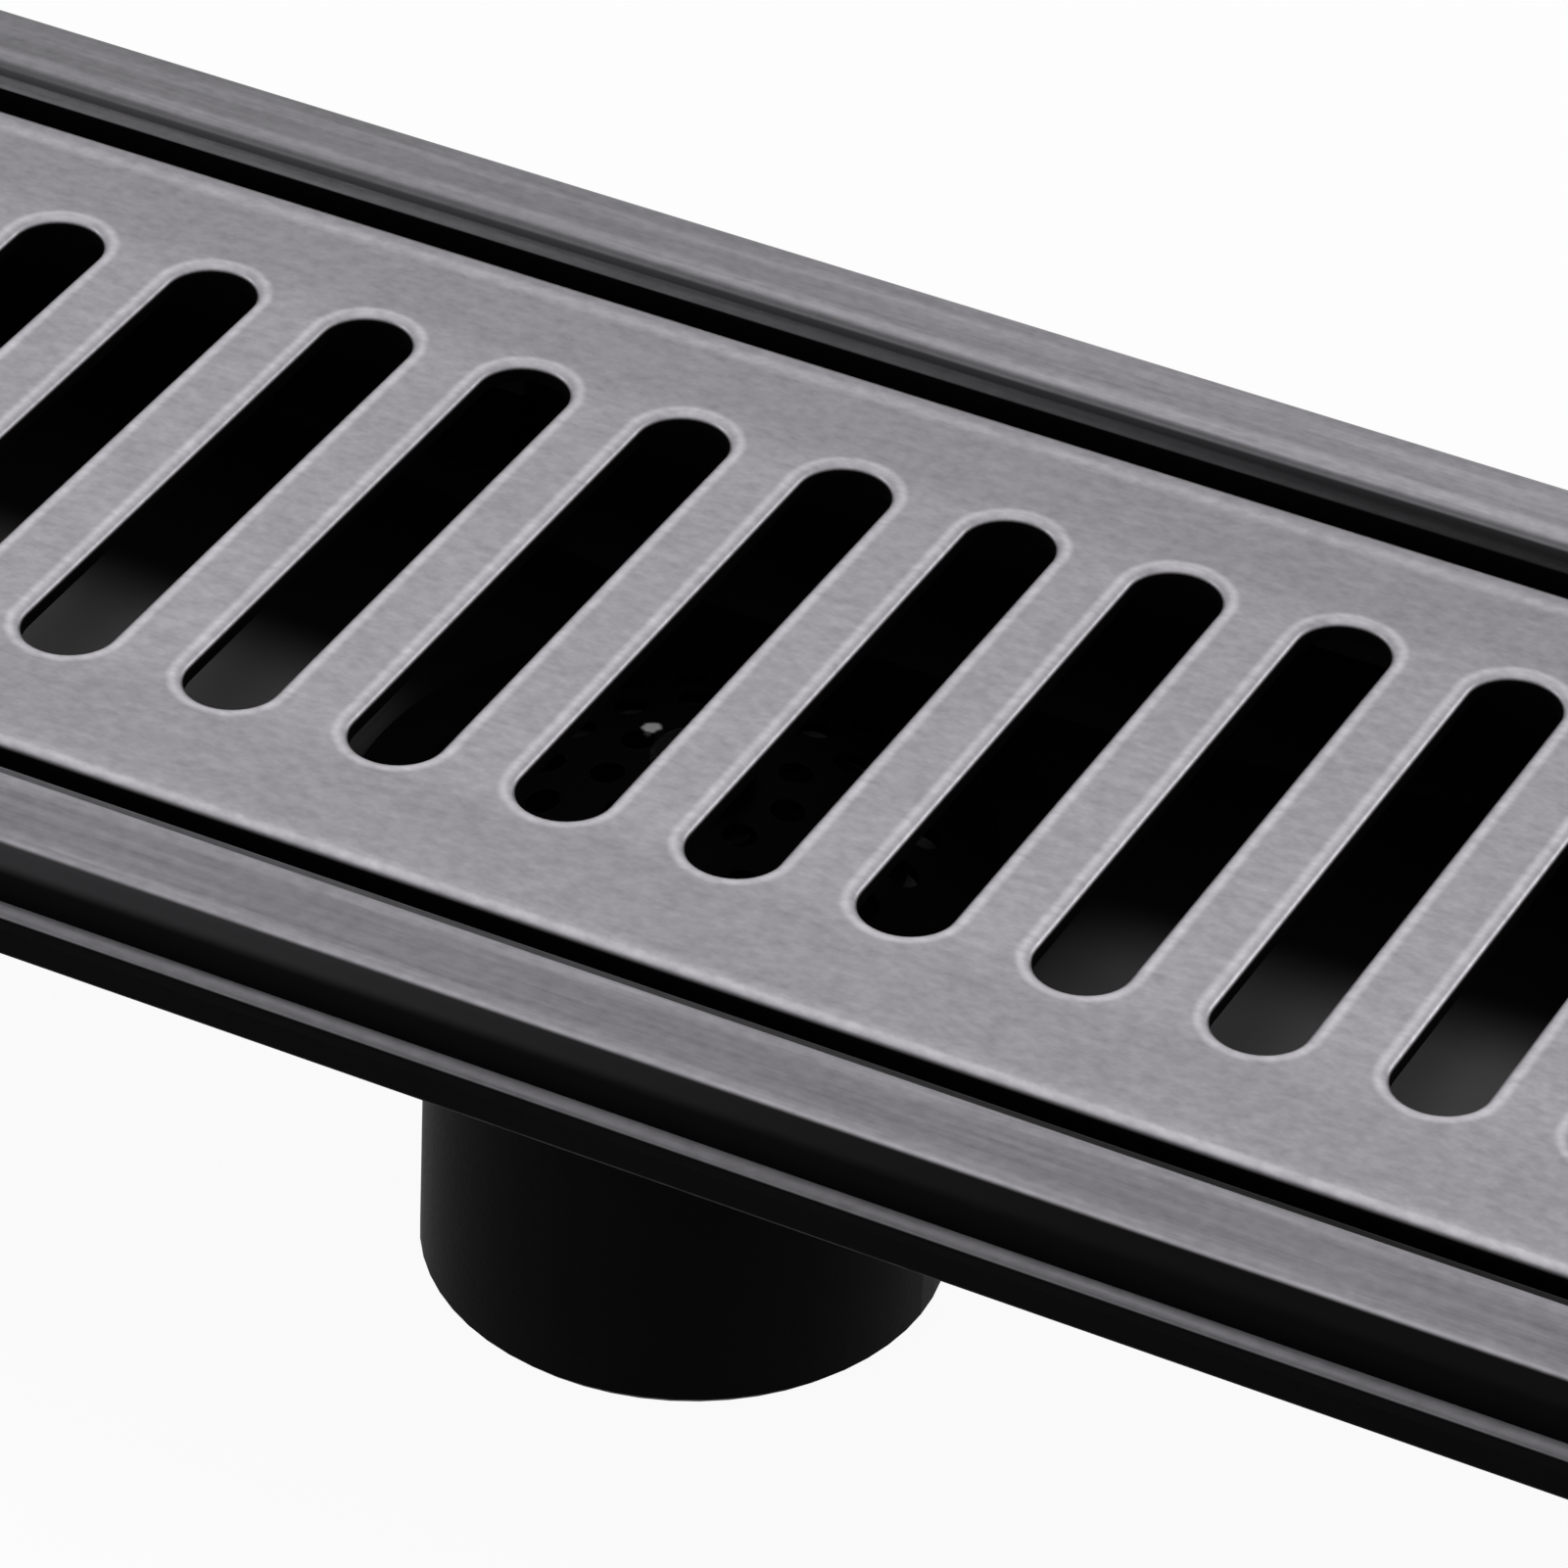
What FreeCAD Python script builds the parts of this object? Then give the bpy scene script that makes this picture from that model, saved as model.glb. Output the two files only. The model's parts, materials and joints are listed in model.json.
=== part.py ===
import FreeCAD, Part
import math
import os
from FreeCAD import Vector

# Rectangular floor drain: a moulded tray with an outlet spigot, a pressed surround frame, a slotted
# grate on rubber pads, a domed hair strainer and a drop-in odour trap with a sprung valve.
# X runs along the drain, Y across it and Z up. The origin is the centre of the spigot's lower end.
# All sizes are in millimetres.

# Overall sizes
drain_length = 300.0
drain_width = 100.0
drain_height = 56.5
drain_corner = 4.0

# Surround frame, pressed from sheet
frame_sheet = 1.0
foot_width = 1.7
rim_width = 7.6
skirt_height = 5.1
ledge_width = 1.5
ledge_drop = 1.0
leg_length = 6.0
rim_round = 0.7
ledge_round = 0.3

# Tray, moulded in one piece with its flange and spigot
flange_thickness = 2.3
tray_wall = 2.4
tray_floor = 2.2
tray_corner = 3.0
channel_depth = 11.5
floor_fall = 8.0
wall_clearance = 0.15
sump_margin = 3.0
sump_corner = 6.0
spigot_diameter = 40.0
spigot_wall = 2.0
spigot_chamfer = 0.8
flange_round = 0.4
tray_round = 1.2
boss_round = 0.8

# Slotted grate with edges folded down
grate_sheet = 1.5
grate_gap = 2.5
rim_rise = 1.0
grate_skirt = 8.0
grate_corner = 2.0
grate_bend = 1.0
slot_pitch = 13.5
slot_width = 7.0
slot_margin = 11.45
slot_round = 0.7

# Rubber pads clipped on the grate's folded edges, and the lugs under them
pads_per_side = 4
pad_end_margin = 22.0
pad_length = 10.0
pad_cheek = 1.2
pad_grip = 3.0
pad_base = 1.5
pad_round = 0.4
lug_overhang = 2.0

# Domed hair strainer and its lifting knob
strainer_sheet = 0.8
strainer_lap = 1.5
strainer_brim = 4.5
strainer_rise = 5.0
strainer_hole = 2.6
strainer_pitch = 4.7
strainer_first_ring = 7.0
knob_radius = 4.0
knob_height = 2.4
knob_waist = 2.4
knob_neck = 0.7
knob_round = 0.8
knob_shank = 1.5
knob_tail_radius = 2.6
knob_tail = 0.6
knob_seat = 3.0

# Trap sleeve hanging in the spigot by its flange
trap_flange_lap = 7.0
trap_flange_thickness = 1.6
trap_recess_gap = 0.3
sleeve_gap = 1.0
sleeve_wall = 1.5
trap_drop = 19.6
seat_width = 2.0
neck_length = 5.0
neck_straight = 2.0
seal_groove = 0.5
seal_length = 6.0
seal_drop = 4.0
seal_fins = 3
seal_fin_width = 1.0
seal_band = 0.2
seal_clearance = 0.05
spider_arms = 3
spider_arm_width = 2.0
spider_arm_height = 3.0
spider_hub_radius = 4.0
spider_hub_height = 6.0

# Sprung valve
stem_radius = 1.5
stem_clearance = 0.08
stem_end = 0.6
stem_chamfer = 0.3
disc_flow_gap = 3.5
disc_thickness = 2.0
disc_hub_radius = 3.5
disc_hub_height = 3.0
gasket_lap = 0.5
gasket_width = 3.5
gasket_thickness = 1.2
nut_across_flats = 5.5
nut_thickness = 2.4
nut_chamfer_angle = 30.0
spring_wire = 0.7
spring_radius = 3.3
spring_turns = 5.5
spring_length = 12.0
cap_radius = 5.0
cap_thickness = 1.5
cap_rise = 3.5
cap_round = 0.5

# Insets of each outline from the drain's overall outline
skirt_outside = foot_width
skirt_inside = skirt_outside + frame_sheet
rim_inside = foot_width + rim_width
riser_back = rim_inside - frame_sheet
leg_inside = rim_inside + ledge_width
leg_back = leg_inside - frame_sheet
wall_inside = leg_back - wall_clearance
wall_outside = wall_inside - tray_wall
grate_outside = leg_inside + grate_gap
grate_inside = grate_outside + grate_sheet

# Heights above the spigot's lower end
rim_top = drain_height
grate_top = rim_top - rim_rise
foot_top = rim_top - skirt_height
flange_top = foot_top - frame_sheet
flange_bottom = flange_top - flange_thickness
ledge_top = rim_top - ledge_drop
wall_top = ledge_top - frame_sheet
leg_bottom = rim_top - leg_length
floor_edge = rim_top - channel_depth
sump_floor = floor_edge - floor_fall
recess_floor = sump_floor - trap_flange_thickness
boss_bottom = recess_floor - tray_floor
skirt_bottom = grate_top - grate_skirt
pad_bottom = skirt_bottom - pad_base
strainer_top = sump_floor + strainer_rise + strainer_sheet
cap_top = sump_floor + cap_rise
cap_bottom = cap_top - cap_thickness
hub_top = cap_bottom - spring_length
seat_height = recess_floor - trap_drop
gasket_bottom = seat_height - gasket_thickness
disc_bottom = gasket_bottom - disc_thickness
nut_bottom = disc_bottom - nut_thickness
stem_bottom = nut_bottom - stem_end

# Radii about the outlet's axis
spigot_radius = spigot_diameter / 2
bore_radius = spigot_radius - spigot_wall
trap_flange_radius = bore_radius + trap_flange_lap
recess_radius = trap_flange_radius + trap_recess_gap
boss_radius = recess_radius + tray_floor
sump_half = trap_flange_radius + sump_margin
strainer_radius = trap_flange_radius + strainer_lap
dome_radius = strainer_radius - strainer_brim
sleeve_radius = bore_radius - sleeve_gap
sleeve_bore = sleeve_radius - sleeve_wall
disc_radius = bore_radius - disc_flow_gap
seat_radius = disc_radius - gasket_lap
seat_bore = seat_radius - seat_width

# Plan sizes of the grate and its slots
half_length = drain_length / 2
half_width = drain_width / 2
grate_half_length = half_length - grate_outside
grate_half_width = half_width - grate_outside
slot_half = grate_half_width - slot_margin
slot_reach = grate_half_length - slot_margin - slot_width / 2
slots_each_way = int(slot_reach / slot_pitch + 1e-6)
pad_reach = grate_half_length - pad_end_margin
pad_places = [pad_reach * (2 * i / (pads_per_side - 1) - 1) for i in range(pads_per_side)]
pad_centre = grate_half_width - grate_sheet / 2

up = Vector(0, 0, 1)
full_turn = 360
quarter_turn_sine = math.sqrt(0.5)
touch = 1e-4


def outline(reach_x, reach_y, radius, height):
    """Rounded rectangle about the Z axis."""
    edges = []
    corners = [(1, 1), (-1, 1), (-1, -1), (1, -1)]
    arc_ends = []
    for index, (sign_x, sign_y) in enumerate(corners):
        centre = Vector(sign_x * (reach_x - radius), sign_y * (reach_y - radius), height)
        along_x = centre + Vector(sign_x * radius, 0, 0)
        along_y = centre + Vector(0, sign_y * radius, 0)
        middle = centre + Vector(sign_x, sign_y, 0) * radius * quarter_turn_sine
        ends = (along_x, along_y) if index % 2 == 0 else (along_y, along_x)
        arc_ends.append((ends[0], middle, ends[1]))
    for index, (start, middle, end) in enumerate(arc_ends):
        next_start = arc_ends[(index + 1) % len(arc_ends)][0]
        edges.append(Part.Arc(start, middle, end).toShape())
        edges.append(Part.LineSegment(end, next_start).toShape())
    return Part.Wire(edges)


def corner_of(inset):
    """Corner radius of a frame outline: centred with the tray's wall inside, with the foot outside."""
    if inset > skirt_inside:
        return tray_corner + wall_inside - inset
    return drain_corner - inset


def plate(inset, radius, bottom, top):
    """Upright prism on an outline inset from the drain's overall outline."""
    wire = outline(half_length - inset, half_width - inset, radius, bottom)
    return Part.Face(wire).extrude(up * (top - bottom))


def frame_ring(outside, inside, bottom, top):
    """Upright ring between two of the frame's outlines."""
    outer = plate(outside, corner_of(outside), bottom, top)
    return outer.cut(plate(inside, corner_of(inside), bottom, top))


def outline_edges(shape, inset, radius, height):
    """Edges of a shape that lie on one outline at one height."""
    core_x = half_length - inset - radius
    core_y = half_width - inset - radius

    def lies_on(point):
        over_x = abs(point.x) - core_x
        over_y = abs(point.y) - core_y
        beyond = math.hypot(max(over_x, 0), max(over_y, 0)) + min(max(over_x, over_y), 0)
        return abs(beyond - radius) < touch and abs(point.z - height) < touch

    def samples(edge):
        middle = (edge.FirstParameter + edge.LastParameter) / 2
        return [edge.valueAt(edge.FirstParameter), edge.valueAt(middle), edge.valueAt(edge.LastParameter)]

    return [edge for edge in shape.Edges if all(lies_on(point) for point in samples(edge))]


def disc(radius, bottom, top):
    """Upright cylinder on the outlet's axis."""
    return Part.makeCylinder(radius, top - bottom, Vector(0, 0, bottom))


def rim_edges(shape, radius, height):
    """Edges of a shape that lie on one circle about the outlet's axis."""

    def lies_on(point):
        return abs(math.hypot(point.x, point.y) - radius) < touch and abs(point.z - height) < touch

    return [edge for edge in shape.Edges if all(lies_on(vertex.Point) for vertex in edge.Vertexes)]


def turned(points):
    """Solid of revolution about the outlet's axis from radius and height pairs."""
    corners = [Vector(radius, 0, height) for radius, height in points]
    face = Part.Face(Part.makePolygon(corners + corners[:1]))
    return face.revolve(Vector(0, 0, 0), up, full_turn)


def box(low, high):
    """Box between two opposite corners."""
    size = Vector(*high) - Vector(*low)
    return Part.makeBox(size.x, size.y, size.z, Vector(*low))


def surround_frame():
    """Pressed frame: outer foot, skirt, rim, inner ledge and hanging inner leg."""
    foot = frame_ring(0, skirt_inside, flange_top, foot_top)
    skirt = frame_ring(skirt_outside, skirt_inside, flange_top, rim_top)
    rim = frame_ring(skirt_outside, rim_inside, rim_top - frame_sheet, rim_top)
    riser = frame_ring(riser_back, rim_inside, wall_top, rim_top)
    ledge = frame_ring(riser_back, leg_inside, wall_top, ledge_top)
    leg = frame_ring(leg_back, leg_inside, leg_bottom, ledge_top)
    frame = foot.fuse([skirt, rim, riser, ledge, leg]).removeSplitter()
    for inset, height, size in (
        (skirt_outside, rim_top, rim_round),
        (rim_inside, rim_top, rim_round),
        (leg_inside, ledge_top, ledge_round),
        (0, foot_top, ledge_round),
    ):
        frame = frame.makeFillet(size, outline_edges(frame, inset, corner_of(inset), height))
    return frame


def hopper(inset, radius, top, sump_reach, bottom):
    """Tapering block from the tray's wall outline down to the square sump."""
    upper = outline(half_length - inset, half_width - inset, radius, top)
    lower = outline(sump_reach, sump_reach, sump_corner, bottom)
    return Part.makeLoft([upper, lower], True, True)


def tray_cavity():
    """Space inside the tray: channel, falling floor, trap recess and outlet bore."""
    channel = plate(wall_inside, tray_corner, floor_edge, wall_top)
    fall = hopper(wall_inside, tray_corner, floor_edge, sump_half, sump_floor)
    recess = disc(recess_radius, recess_floor, sump_floor)
    bore = disc(bore_radius, 0, recess_floor)
    return channel.fuse([fall, recess, bore])


def tray_lugs(cavity):
    """Blocks on the long walls that carry the grate's pads."""
    inner = pad_centre - grate_sheet / 2 - pad_cheek - lug_overhang
    outer = half_width - wall_inside
    half = pad_length / 2
    lugs = []
    for place in pad_places:
        for side in (-1, 1):
            near, far = sorted((side * inner, side * outer))
            block = box((place - half, near, sump_floor), (place + half, far, pad_bottom))
            lugs.append(block.common(cavity))
    return lugs


def drain_tray():
    """One-piece moulded tray with flange, walls, falling floor, boss and outlet spigot."""
    outer_corner = tray_corner + tray_wall
    underside = floor_edge - tray_floor
    walls = plate(wall_outside, outer_corner, underside, wall_top)
    walls = walls.makeFillet(tray_round, outline_edges(walls, wall_outside, outer_corner, underside))
    flange = plate(0, drain_corner, flange_bottom, flange_top)
    floor = hopper(wall_outside + tray_round, outer_corner - tray_round, underside,
                   sump_half + tray_wall, sump_floor - tray_floor)
    boss = disc(boss_radius, boss_bottom, sump_floor)
    spigot = disc(spigot_radius, 0, recess_floor)
    spigot = spigot.makeChamfer(spigot_chamfer, rim_edges(spigot, spigot_radius, 0))
    cavity = tray_cavity()
    body = walls.fuse([flange, floor, boss, spigot]).removeSplitter()
    for edges, size in (
        (outline_edges(body, 0, drain_corner, flange_bottom), flange_round),
        (rim_edges(body, boss_radius, boss_bottom), boss_round),
        (rim_edges(body, spigot_radius, boss_bottom), boss_round),
    ):
        body = body.makeFillet(size, edges)
    body = body.cut(cavity)
    return body.fuse(tray_lugs(cavity)).removeSplitter()


def slot_prism(place):
    """Round-ended slot across the grate."""
    radius = slot_width / 2
    straight = slot_half - radius
    bottom = grate_top - grate_sheet
    left = place - radius
    right = place + radius
    wire = Part.Wire([
        Part.LineSegment(Vector(right, -straight, bottom), Vector(right, straight, bottom)).toShape(),
        Part.Arc(Vector(right, straight, bottom), Vector(place, slot_half, bottom),
                 Vector(left, straight, bottom)).toShape(),
        Part.LineSegment(Vector(left, straight, bottom), Vector(left, -straight, bottom)).toShape(),
        Part.Arc(Vector(left, -straight, bottom), Vector(place, -slot_half, bottom),
                 Vector(right, -straight, bottom)).toShape(),
    ])
    return Part.Face(wire).extrude(up * grate_sheet)


def slotted_grate():
    """Sheet with edges folded down all round and a row of slots with rolled upper edges."""
    inner_corner = grate_corner - grate_sheet
    shell = plate(grate_outside, grate_corner, skirt_bottom, grate_top)
    shell = shell.cut(plate(grate_inside, inner_corner, skirt_bottom, grate_top - grate_sheet))
    shell = shell.makeFillet(grate_bend, outline_edges(shell, grate_outside, grate_corner, grate_top))
    places = [index * slot_pitch for index in range(-slots_each_way, slots_each_way + 1)]
    grate = shell.cut([slot_prism(place) for place in places])
    margin = slot_half + slot_round
    reach = max(places) + slot_width / 2 + slot_round

    def on_slot(edge):
        bounds = edge.BoundBox
        inside = max(abs(bounds.YMin), abs(bounds.YMax)) < margin and abs(bounds.Center.x) < reach
        return inside and bounds.ZMin > grate_top - touch

    return grate.makeFillet(slot_round, [edge for edge in grate.Edges if on_slot(edge)])


def grate_pad(place, side):
    """Rubber clip that grips the grate's folded edge and stands on a lug."""
    half = pad_length / 2
    reach = grate_sheet / 2 + pad_cheek
    centre = side * pad_centre
    top = skirt_bottom + pad_grip
    body = box((place - half, centre - reach, pad_bottom), (place + half, centre + reach, top))
    upright = [edge for edge in body.Edges if edge.BoundBox.ZLength > pad_grip]
    body = body.makeFillet(pad_round, upright)
    slot = box((place - half, centre - grate_sheet / 2, skirt_bottom),
               (place + half, centre + grate_sheet / 2, top))
    return body.cut(slot)


def dome_arc(edge, base, top):
    """Arc in the XZ plane from the edge of the knob's flat seat down to the dome's edge."""
    rise = top - base
    span = edge - knob_seat
    radius = (span ** 2 + rise ** 2) / (2 * rise)
    half_angle = math.asin(span / radius) / 2
    out = knob_seat + radius * math.sin(half_angle)
    middle = Vector(out, 0, top - radius * (1 - math.cos(half_angle)))
    return Part.Arc(Vector(knob_seat, 0, top), middle, Vector(edge, 0, base)).toShape()


def strainer_holes():
    """Upright drills on rings about the outlet's axis."""
    drills = []
    radius = strainer_first_ring
    while radius + strainer_hole / 2 < dome_radius:
        count = int(2 * math.pi * radius / strainer_pitch)
        for index in range(count):
            angle = 2 * math.pi * index / count
            foot = Vector(radius * math.cos(angle), radius * math.sin(angle), sump_floor)
            drills.append(Part.makeCylinder(strainer_hole / 2, strainer_top - sump_floor, foot))
        radius += strainer_pitch
    return drills


def hair_strainer():
    """Pressed dome with a flat brim and a flat seat for the knob, drilled all over."""
    brim_top = sump_floor + strainer_sheet
    inside_top = strainer_top - strainer_sheet
    inner_edge = dome_radius - strainer_sheet
    brim = Part.makePolygon([
        Vector(dome_radius, 0, brim_top),
        Vector(strainer_radius, 0, brim_top),
        Vector(strainer_radius, 0, sump_floor),
        Vector(inner_edge, 0, sump_floor),
    ])
    seat = Part.makePolygon([
        Vector(knob_seat, 0, inside_top),
        Vector(knob_shank, 0, inside_top),
        Vector(knob_shank, 0, strainer_top),
        Vector(knob_seat, 0, strainer_top),
    ])
    arcs = [dome_arc(dome_radius, brim_top, strainer_top), dome_arc(inner_edge, sump_floor, inside_top)]
    section = Part.Face(Part.Wire(Part.__sortEdges__(seat.Edges + arcs + brim.Edges)))
    dome = section.revolve(Vector(0, 0, 0), up, full_turn)
    return dome.cut(strainer_holes())


def strainer_knob():
    """Riveted lifting knob on top of the dome."""
    inside = strainer_top - strainer_sheet
    neck_top = strainer_top + knob_neck
    top = strainer_top + knob_height
    knob = turned([
        (0, inside - knob_tail), (knob_tail_radius, inside - knob_tail), (knob_tail_radius, inside),
        (knob_shank, inside), (knob_shank, strainer_top), (knob_waist, strainer_top), (knob_waist, neck_top),
        (knob_radius, neck_top), (knob_radius, top), (0, top),
    ])
    return knob.makeFillet(knob_round, rim_edges(knob, knob_radius, top))


def sleeve_envelope():
    """Solid outer form of the trap sleeve, tapering to its seat."""
    neck_top = seat_height + neck_length
    neck_bottom = seat_height + neck_straight
    return turned([
        (0, seat_height), (seat_radius, seat_height), (seat_radius, neck_bottom),
        (sleeve_radius, neck_top), (sleeve_radius, recess_floor), (trap_flange_radius, recess_floor),
        (trap_flange_radius, sump_floor), (0, sump_floor),
    ])


def seal_span():
    """Lower and upper heights of the seal's groove on the sleeve."""
    top = recess_floor - seal_drop
    return top - seal_length, top


def trap_sleeve():
    """Flanged sleeve with a seal groove, a three-armed guide and a flat valve seat."""
    neck_top = seat_height + neck_length
    neck_bottom = seat_height + neck_straight
    envelope = sleeve_envelope()
    bore = turned([
        (0, seat_height), (seat_bore, seat_height), (seat_bore, neck_bottom),
        (sleeve_bore, neck_top), (sleeve_bore, sump_floor), (0, sump_floor),
    ])
    low, high = seal_span()
    groove = disc(sleeve_radius, low, high).cut(disc(sleeve_radius - seal_groove, low, high))
    hub = disc(spider_hub_radius, hub_top - spider_hub_height, hub_top)
    arm = box((0, -spider_arm_width / 2, hub_top - spider_hub_height),
              (sleeve_bore + sleeve_wall / 2, spider_arm_width / 2,
               hub_top - spider_hub_height + spider_arm_height))
    arms = [arm.rotated(Vector(0, 0, 0), up, full_turn * index / spider_arms) for index in range(spider_arms)]
    guide = hub.fuse(arms).common(envelope)
    guide = guide.cut(disc(stem_radius + stem_clearance, hub_top - spider_hub_height, hub_top))
    return envelope.cut([bore, groove]).fuse(guide).removeSplitter()


def sleeve_seal():
    """Rubber ring with fins, held in the sleeve's groove."""
    low, high = seal_span()
    ring = disc(sleeve_radius + seal_band, low, high)
    gap = (seal_length - seal_fins * seal_fin_width) / (seal_fins - 1)
    fins = []
    for index in range(seal_fins):
        foot = low + index * (seal_fin_width + gap)
        fins.append(disc(bore_radius - seal_clearance, foot, foot + seal_fin_width))
    return ring.fuse(fins).cut(disc(sleeve_radius - seal_groove, low, high)).removeSplitter()


def valve_stem():
    """Guide rod through the hub, from the nut up into the cap."""
    rod = disc(stem_radius, stem_bottom, cap_top)
    return rod.makeChamfer(stem_chamfer, rim_edges(rod, stem_radius, stem_bottom))


def valve_disc():
    """Closing disc with a short hub on the stem."""
    hub_end = gasket_bottom + disc_hub_height
    flat = disc(disc_radius, disc_bottom, gasket_bottom)
    hub = disc(disc_hub_radius, gasket_bottom, hub_end)
    return flat.fuse(hub).cut(disc(stem_radius, disc_bottom, hub_end)).removeSplitter()


def disc_gasket():
    """Flat sealing ring between the disc and the seat."""
    ring = disc(disc_radius, gasket_bottom, seat_height)
    return ring.cut(disc(disc_radius - gasket_width, gasket_bottom, seat_height))


def stem_nut():
    """Hexagon nut under the disc, chamfered on its lower face."""
    radius = nut_across_flats / math.sqrt(3)
    sides = 6
    corners = []
    for index in range(sides + 1):
        angle = 2 * math.pi * index / sides
        corners.append(Vector(radius * math.cos(angle), radius * math.sin(angle), nut_bottom))
    blank = Part.Face(Part.makePolygon(corners)).extrude(up * nut_thickness)
    flat = nut_across_flats / 2
    drop = (radius - flat) * math.tan(math.radians(nut_chamfer_angle))
    chamfer = turned([
        (0, nut_bottom), (flat, nut_bottom), (radius, nut_bottom + drop),
        (radius, disc_bottom), (0, disc_bottom),
    ])
    return blank.common(chamfer).cut(disc(stem_radius, nut_bottom, disc_bottom))


def spring_cap():
    """Round cap on the stem that holds the spring down."""
    cap = disc(cap_radius, cap_bottom, cap_top)
    cap = cap.makeFillet(cap_round, rim_edges(cap, cap_radius, cap_top))
    return cap.cut(disc(stem_radius, cap_bottom, cap_top))


def valve_spring():
    """Compression spring between the guide hub and the cap."""
    rise = spring_length - spring_wire
    start = hub_top + spring_wire / 2
    helix = Part.makeHelix(rise / spring_turns, rise, spring_radius)
    helix.translate(Vector(0, 0, start))
    section = Part.Wire(Part.makeCircle(spring_wire / 2, Vector(spring_radius, 0, start), Vector(0, 1, 0)))
    return Part.Wire(helix).makePipeShell([section], True, True)


def all_pieces():
    """Every piece by its node name."""
    pieces = {
        "drain_tray": drain_tray(),
        "surround_frame": surround_frame(),
        "slotted_grate": slotted_grate(),
        "hair_strainer": hair_strainer(),
        "strainer_knob": strainer_knob(),
        "trap_sleeve": trap_sleeve(),
        "sleeve_seal": sleeve_seal(),
        "valve_stem": valve_stem(),
        "valve_disc": valve_disc(),
        "disc_gasket": disc_gasket(),
        "stem_nut": stem_nut(),
        "spring_cap": spring_cap(),
        "valve_spring": valve_spring(),
    }
    for name, side in (("front", -1), ("rear", 1)):
        for number, place in enumerate(pad_places, start=1):
            pieces[f"grate_pad_{name}_{number}"] = grate_pad(place, side)
    return pieces


os.makedirs("parts", exist_ok=True)
for node, shape in all_pieces().items():
    solid = shape.Solids[0]
    solid.exportStep(f"parts/{node}.step")
    print(f"{node}: solids {len(shape.Solids)}, valid {solid.isValid()}, volume {solid.Volume:.1f}")
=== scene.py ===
# %% [markdown]
# # A rectangular floor drain
# A floor drain sits flush with the tiles and lets shower water run through a slotted grate into a tray,
# past a hair strainer and a sprung odour trap, and out of a round spigot. Every piece already stands in
# the frame at its real size, in metres, so this lesson adds what a drawing can't hold: the finish of each
# surface, a few fine shapes, the light and the camera.

# %% Load the frame and keep its box
import json
import math
import bmesh
import bpy
from mathutils import Matrix, Vector

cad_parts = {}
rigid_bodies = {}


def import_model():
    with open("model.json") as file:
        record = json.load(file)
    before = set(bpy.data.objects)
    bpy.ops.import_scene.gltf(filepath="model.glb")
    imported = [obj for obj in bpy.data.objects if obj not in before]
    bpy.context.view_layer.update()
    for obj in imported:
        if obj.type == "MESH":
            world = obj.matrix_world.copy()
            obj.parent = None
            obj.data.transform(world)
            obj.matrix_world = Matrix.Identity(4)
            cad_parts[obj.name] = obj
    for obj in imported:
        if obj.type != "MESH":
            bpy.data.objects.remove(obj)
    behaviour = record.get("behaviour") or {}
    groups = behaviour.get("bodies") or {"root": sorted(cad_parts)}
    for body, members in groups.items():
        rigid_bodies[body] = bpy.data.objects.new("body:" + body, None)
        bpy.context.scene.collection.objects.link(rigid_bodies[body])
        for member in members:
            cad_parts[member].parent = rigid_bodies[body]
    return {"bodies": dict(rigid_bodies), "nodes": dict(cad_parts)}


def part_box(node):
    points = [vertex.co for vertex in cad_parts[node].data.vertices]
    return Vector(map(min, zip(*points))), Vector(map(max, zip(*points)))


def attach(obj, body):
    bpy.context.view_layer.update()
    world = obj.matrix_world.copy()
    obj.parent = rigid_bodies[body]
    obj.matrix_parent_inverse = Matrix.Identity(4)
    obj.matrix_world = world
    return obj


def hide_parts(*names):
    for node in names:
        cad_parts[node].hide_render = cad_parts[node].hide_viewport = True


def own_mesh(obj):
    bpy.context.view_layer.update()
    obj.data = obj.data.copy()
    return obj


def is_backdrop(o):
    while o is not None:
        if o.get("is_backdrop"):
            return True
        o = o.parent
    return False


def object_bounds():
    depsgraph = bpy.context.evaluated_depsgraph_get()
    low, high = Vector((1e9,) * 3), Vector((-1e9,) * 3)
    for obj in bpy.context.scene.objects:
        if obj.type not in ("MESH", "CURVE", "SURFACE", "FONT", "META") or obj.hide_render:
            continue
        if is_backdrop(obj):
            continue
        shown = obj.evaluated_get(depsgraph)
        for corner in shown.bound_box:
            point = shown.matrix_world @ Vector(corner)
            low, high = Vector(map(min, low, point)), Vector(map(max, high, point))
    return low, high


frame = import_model()
cad_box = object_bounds()
print("bodies", sorted(frame["bodies"]), "nodes", len(frame["nodes"]))

# %% [markdown]
# ## The camera
# The photograph is a close view from above, with both ends of the drain outside the picture and a slight
# tilt of the horizon. A camera could be dragged into place by eye, but the rims, slots and spigot fix it
# closely, so its angles, distance and lens are written as numbers. The three axes of the camera become the
# columns of its matrix.

# %% Camera at the photograph's viewing angle
millimetre = 0.001
camera_azimuth = math.radians(25.64)
camera_elevation = math.radians(35.539)
camera_roll = math.radians(2.65)
camera_distance = 645.27 * millimetre
camera_target = Vector((13.084, -13.487, 55.5)) * millimetre
camera_lens = 209.996
camera_sensor = 36
level = math.cos(camera_elevation)
back = Vector((math.sin(camera_azimuth) * level, -math.cos(camera_azimuth) * level,
               math.sin(camera_elevation)))
right = Vector((math.cos(camera_azimuth), math.sin(camera_azimuth), 0))
upright = back.cross(right)
rolled_right = right * math.cos(camera_roll) + upright * math.sin(camera_roll)
rolled_up = upright * math.cos(camera_roll) - right * math.sin(camera_roll)
camera = bpy.data.objects.new("camera", bpy.data.cameras.new("camera"))
camera.data.lens = camera_lens
camera.data.sensor_width = camera_sensor
placing = Matrix((rolled_right, rolled_up, back)).transposed().to_4x4()
placing.translation = camera_target + back * camera_distance
camera.matrix_world = placing
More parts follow.
